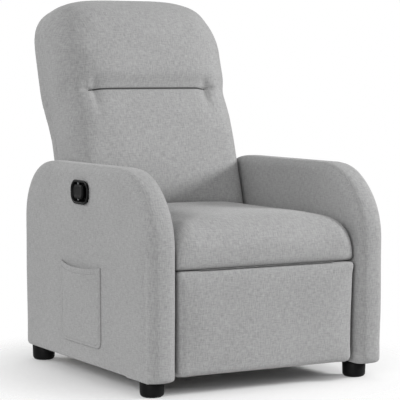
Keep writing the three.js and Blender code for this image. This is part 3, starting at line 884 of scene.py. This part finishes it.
def make_footrest():
    """The pad's cover, which wraps round the board's edges and over its back."""
    low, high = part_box("footrest_pad")
    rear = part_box("footrest_board")[1].y + 0.0008
    half = high.x + 0.0025
    corner = 0.020
    top_corner = 0.003
    outline = arc((half - corner, low.z + corner), (corner, corner), -90, 0, 8)
    top = high.z + 0.0012
    outline += arc((half - top_corner, top - top_corner), (top_corner, top_corner), 0, 90, 5)
    outline += arc((-half + top_corner, top - top_corner), (top_corner, top_corner), 90, 180, 5)
    outline += arc((-half + corner, low.z + corner), (corner, corner), 180, 270, 8)
    outline = evenly(np.array(outline), OUTLINE_STEP)
    front_edge = 0.014 - 0.009 * ease((outline[:, 1] - top + 0.03) / 0.02)
    skins = skins_between(outline, low.y + 0.003, rear, front_edge, 0.004, 0.0005)
    pad = lofted("footrest_cover", skins, COVER)
    remeshed(pad, VOXEL)
    relaxed(pad, 1)

    def held(points):
        behind = ease((points[:, 1] - high.y + 0.014) / 0.008)
        at_top = ease((points[:, 2] - high.z + 0.012) / 0.008)
        return np.clip(behind + at_top, 0, 1)

    swollen(pad, 2.5, 0.007, held)
    relaxed(pad, 1)
    refined(pad)
    finish_soft(pad, "footrest", "footrest_pad")


def make_bridge():
    """The strip of cover cloth from the seat's roll to the footrest, tucked into the crease when shut."""
    roll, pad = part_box("seat_cushion"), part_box("footrest_pad")
    top, bottom = roll[0].z - 0.0008, pad[1].z + 0.0008
    outer, inner = roll[0].y + 0.006, roll[0].y + 0.046
    half = 0.188
    across = np.linspace(-half, half, 61)
    down = np.linspace(0, 1, 33)
    vertices = []
    for x in across:
        for t in down:
            depth = 1 - abs(2 * t - 1)
            vertices.append((x, outer + (inner - outer) * depth, top + (bottom - top) * t))
    rows = len(down)
    faces = [
        (i * rows + j, i * rows + j + 1, (i + 1) * rows + j + 1, (i + 1) * rows + j)
        for i in range(len(across) - 1)
        for j in range(rows - 1)
    ]
    bridge = smooth(new_object("footrest_bridge_cloth", vertices, faces, COVER))
    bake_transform(bridge)


def make_rear_panel():
    low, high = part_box("rear_lower_panel")
    corner = 0.010
    outline = arc((high.x - corner, low.z + corner), (corner, corner), -90, 0, 5)
    outline += arc((high.x - corner, high.z - corner), (corner, corner), 0, 90, 5)
    outline += arc((low.x + corner, high.z - corner), (corner, corner), 90, 180, 5)
    outline += arc((low.x + corner, low.z + corner), (corner, corner), 180, 270, 5)
    skins = skins_between(evenly(np.array(outline), OUTLINE_STEP), low.y, high.y, 0.004, 0.007, 0.0005)
    panel = lofted("rear_panel_cover", skins, COVER)
    remeshed(panel, VOXEL)
    relaxed(panel, 2)
    refined(panel)
    finish_soft(panel, "base", "rear_lower_panel")


# ---- side pocket and stitching -------------------------------------------------------------

def surface_x(thing, start_x):
    """A function that gives the x at which a ray from (start_x, y, z) meets the piece."""
    tree = ray_tree(thing)
    towards_it = Vector((1 if start_x < 0 else -1, 0, 0))

    def met(y, z):
        return tree.ray_cast(Vector((start_x, y, z)), towards_it)[0].x

    return met


POCKET_SAG = 0.009
POCKET_EDGE = 0.0022


def pocket_shape(u, v):
    """How far the pocket's cloth stands off the arm at (u, v), both 0 to 1, v = 1 at its mouth."""
    belly = math.sin(math.pi * u) ** 0.9 * v**1.3 * (1.15 - 0.5 * u)
    at_edge = min(u, 1 - u, v * 0.9) / 0.05
    seam = 0.0007 * math.exp(-(((at_edge - 0.6) / 0.25) ** 2))
    hem = 0.0006 * math.exp(-(((v - 0.93) / 0.012) ** 2)) * (1 if v > 0.9 else 0)
    return POCKET_EDGE + 0.0095 * belly - seam - hem


def make_pocket(arm):
    low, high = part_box("side_pocket")
    skin_x = surface_x(arm, -0.6)
    columns, rows = 72, 66
    corner = 0.018
    width, tall = high.y - low.y, high.z - low.z
    vertices = []
    for i in range(-1, columns + 2):
        u = min(max(i / columns, 0), 1)
        for j in range(-1, rows + 1):
            v = min(max(j / rows, 0), 1)
            y = low.y + width * (1 - u)
            sag = POCKET_SAG * (4 * u * (1 - u)) ** 0.8
            foot = max(0.0, corner - width * min(u, 1 - u))
            bottom = low.z + corner - math.sqrt(corner**2 - foot**2)
            z = bottom + (high.z - sag - bottom) * v
            turned_under = i in (-1, columns + 1) or j == -1
            x = skin_x(y, z) - (0.0001 if turned_under else pocket_shape(u, v))
            vertices.append((x, y, z))
    stride = rows + 2
    faces = [
        (a, a + stride, a + stride + 1, a + 1)
        for i in range(columns + 2)
        for a in (i * stride + j for j in range(rows + 1))
    ]
    pocket = new_object("side_pocket_cloth", vertices, faces, COVER)
    face_outwards(pocket)
    thicken = pocket.modifiers.new("cloth", "SOLIDIFY")
    thicken.thickness = 0.0014
    thicken.offset = 1
    apply_modifiers(pocket)
    smooth(pocket)
    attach(pocket, "base")
    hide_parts("side_pocket")

    inset = 0.006
    front, rear = low.y + inset, high.y - inset
    path = [(rear, high.z - 0.012), (rear, low.z + corner), (rear - corner, low.z + inset)]
    path += [(front + corner, low.z + inset), (front, low.z + corner), (front, high.z - 0.012)]
    rim = []
    for y, z in walk(path, 0.004):
        u, v = (high.y - y) / width, (z - low.z) / tall
        rim.append(Vector((skin_x(y, z) - pocket_shape(u, v) - 0.0016, y, z)))
    stitches("pocket_side_stitching", rim, "base")
    mouth = []
    for u in np.linspace(0.03, 0.97, 52):
        v = 0.925
        y = low.y + width * (1 - u)
        top = high.z - POCKET_SAG * (4 * u * (1 - u)) ** 0.8
        z = low.z + (top - low.z) * v
        mouth.append(Vector((skin_x(y, z) - pocket_shape(u, v) - 0.0016, y, z)))
    stitches("pocket_mouth_stitching", mouth, "base")


def walk(path, step):
    """Points a step apart along a chain of straight lines."""
    chain = np.array(path)
    lengths = np.linalg.norm(np.diff(chain, axis=0), axis=1)
    travelled = np.concatenate([[0], np.cumsum(lengths)])
    wanted = np.arange(0, travelled[-1], step)
    return [tuple(np.interp(w, travelled, chain[:, k]) for k in (0, 1)) for w in wanted]


def stitches(name, path, body):
    """A row of short threads lying on the cloth, one between each point and the next, with gaps."""
    vertices, faces = [], []
    for start, end in zip(path[:-1], path[1:]):
        along = (end - start) * 0.36
        middle = (start + end) / 2
        side = along.cross(Vector((1, 0, 0))).normalized() * 0.00045
        lift = Vector((-0.00035, 0, 0))
        first = len(vertices)
        for share, girth in ((-1, 0.35), (-0.6, 1), (0.6, 1), (1, 0.35)):
            centre = middle + along * share
            over = [side * 0.4 + lift, side * -0.4 + lift]
            under = [side * -0.4 - lift, side * 0.4 - lift]
            vertices += [centre + offset * girth for offset in (side, *over, -side, *under)]
        for row in range(3):
            for k in range(6):
                a, b = first + row * 6 + k, first + row * 6 + (k + 1) % 6
                faces.append((a, b, b + 6, a + 6))
        faces.append(tuple(first + k for k in reversed(range(6))))
        faces.append(tuple(first + 18 + k for k in range(6)))
    row = smooth(new_object(name, vertices, faces, THREAD))
    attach(row, body)


# ---- feet and release handle ---------------------------------------------------------------

def make_foot(node):
    """A turned foot: slight taper, rounded lower edge, a fine witness line under its top."""
    low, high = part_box(node)
    middle_x, middle_y = (low.x + high.x) / 2, (low.y + high.y) / 2
    top = 0.0438
    edge = 0.010
    curve = np.linspace(0, math.pi / 2, 9)
    profile = [(0.019 + 0.010 * math.sin(t), edge * (1 - math.cos(t))) for t in curve]
    profile += [(0.0294, 0.022), (0.0299, top - 0.0060), (0.0293, top - 0.0052)]
    profile += [(0.0293, top - 0.0044), (0.0299, top - 0.0036), (0.0299, top - 0.0008), (0.0292, top)]
    turns = np.linspace(0, 2 * math.pi, 56, endpoint=False)
    loops = []
    for r, z in profile:
        loops.append([(middle_x + r * math.cos(t), middle_y + r * math.sin(t), z) for t in turns])
    foot = smooth_sides(lofted(f"{node}_turned", loops, PLASTIC))
    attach(foot, "base")
    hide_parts(node)


def smooth_sides(thing):
    """Smooth shading on the loft's sides, flat on its two end faces."""
    for polygon in thing.data.polygons:
        polygon.use_smooth = len(polygon.vertices) == 4
    thing.data.update()
    return thing


def rounded_rectangle(centre, half_length, half_height, corner):
    """A closed outline, as (y, z)."""
    y, z = centre
    outline = []
    for turn, (dy, dz) in enumerate(((1, -1), (1, 1), (-1, 1), (-1, -1))):
        middle = (y + dy * (half_length - corner), z + dz * (half_height - corner))
        outline += arc(middle, (corner, corner), -90 + 90 * turn, 90 * turn, 10)
    return outline


def stacked(name, centre, layers, material):
    """A moulding drawn as rounded rectangles: (half length, half height, corner, x) each."""
    loops = []
    for half_length, half_height, corner, x in layers:
        ring = rounded_rectangle(centre, half_length * MM, half_height * MM, corner * MM)
        loops.append([(x, y, z) for y, z in ring])
    return smooth_sides(lofted(name, loops, material))


def make_handle():
    low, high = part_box("handle_cup")
    centre = ((low.y + high.y) / 2, (low.z + high.z) / 2)
    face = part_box("arm_cover_left")[0].x
    cup = [
        (41, 22, 18, face + 16 * MM),
        (43.4, 24.4, 19.6, face + 14.5 * MM),
        (43.8, 24.8, 20, face - 0.3 * MM),
        (48.6, 29.6, 25.8, face - 0.5 * MM),
        (49.2, 30.2, 26.2, face - 1.8 * MM),
        (48.8, 29.8, 25.8, face - 2.9 * MM),
        (47.6, 28.6, 24.8, face - 3.7 * MM),
        (46.0, 27.0, 23.4, face - 3.9 * MM),
        (44.4, 25.4, 21.8, face - 3.5 * MM),
        (43.2, 24.2, 20.4, face - 2.2 * MM),
        (42.3, 23.3, 18.0, face + 0.5 * MM),
        (41.8, 22.8, 15.0, face + 10 * MM),
        (40.4, 21.4, 13.6, face + 13.2 * MM),
        (38.0, 19.0, 11.6, face + 13.9 * MM),
    ]
    bezel = stacked("handle_bezel", centre, cup, HANDLE_PLASTIC)
    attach(bezel, "base")
    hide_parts("handle_cup")

    lever_low, lever_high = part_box("handle_lever")
    lever_centre = ((lever_low.y + lever_high.y) / 2, (lever_low.z + lever_high.z) / 2)
    half_length = (lever_high.y - lever_low.y) / 2 / MM
    half_height = (lever_high.z - lever_low.z) / 2 / MM
    grip = [
        (half_length - 4, half_height - 4, 8, face - 0.6 * MM),
        (half_length - 2.2, half_height - 2.2, 9.5, face - 0.9 * MM),
        (half_length - 2.0, half_height - 2.0, 9.5, face - 1.7 * MM),
        (half_length - 3.0, half_height - 3.0, 8.8, face - 2.4 * MM),
        (half_length - 4.5, half_height - 4.5, 7.6, face - 2.5 * MM),
        (half_length - 8.0, half_height - 8.0, 5.0, face - 1.9 * MM),
        (half_length - 14, half_height - 12, 3.0, face - 1.5 * MM),
    ]
    pad = stacked("handle_grip", lever_centre, grip, HANDLE_PLASTIC)
    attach(pad, "handle")


# ---- build ---------------------------------------------------------------------------------

make_camera()
make_studio()
dress_cad_nodes()
left_arm = make_arm("left", -1)
make_arm("right", 1)
make_back_cushion()
make_back_shell()
make_seat()
make_footrest()
make_bridge()
make_rear_panel()
make_pocket(left_arm)
for foot_node in ("leg_front_left", "leg_front_right", "leg_rear_left", "leg_rear_right"):
    make_foot(foot_node)
make_handle()
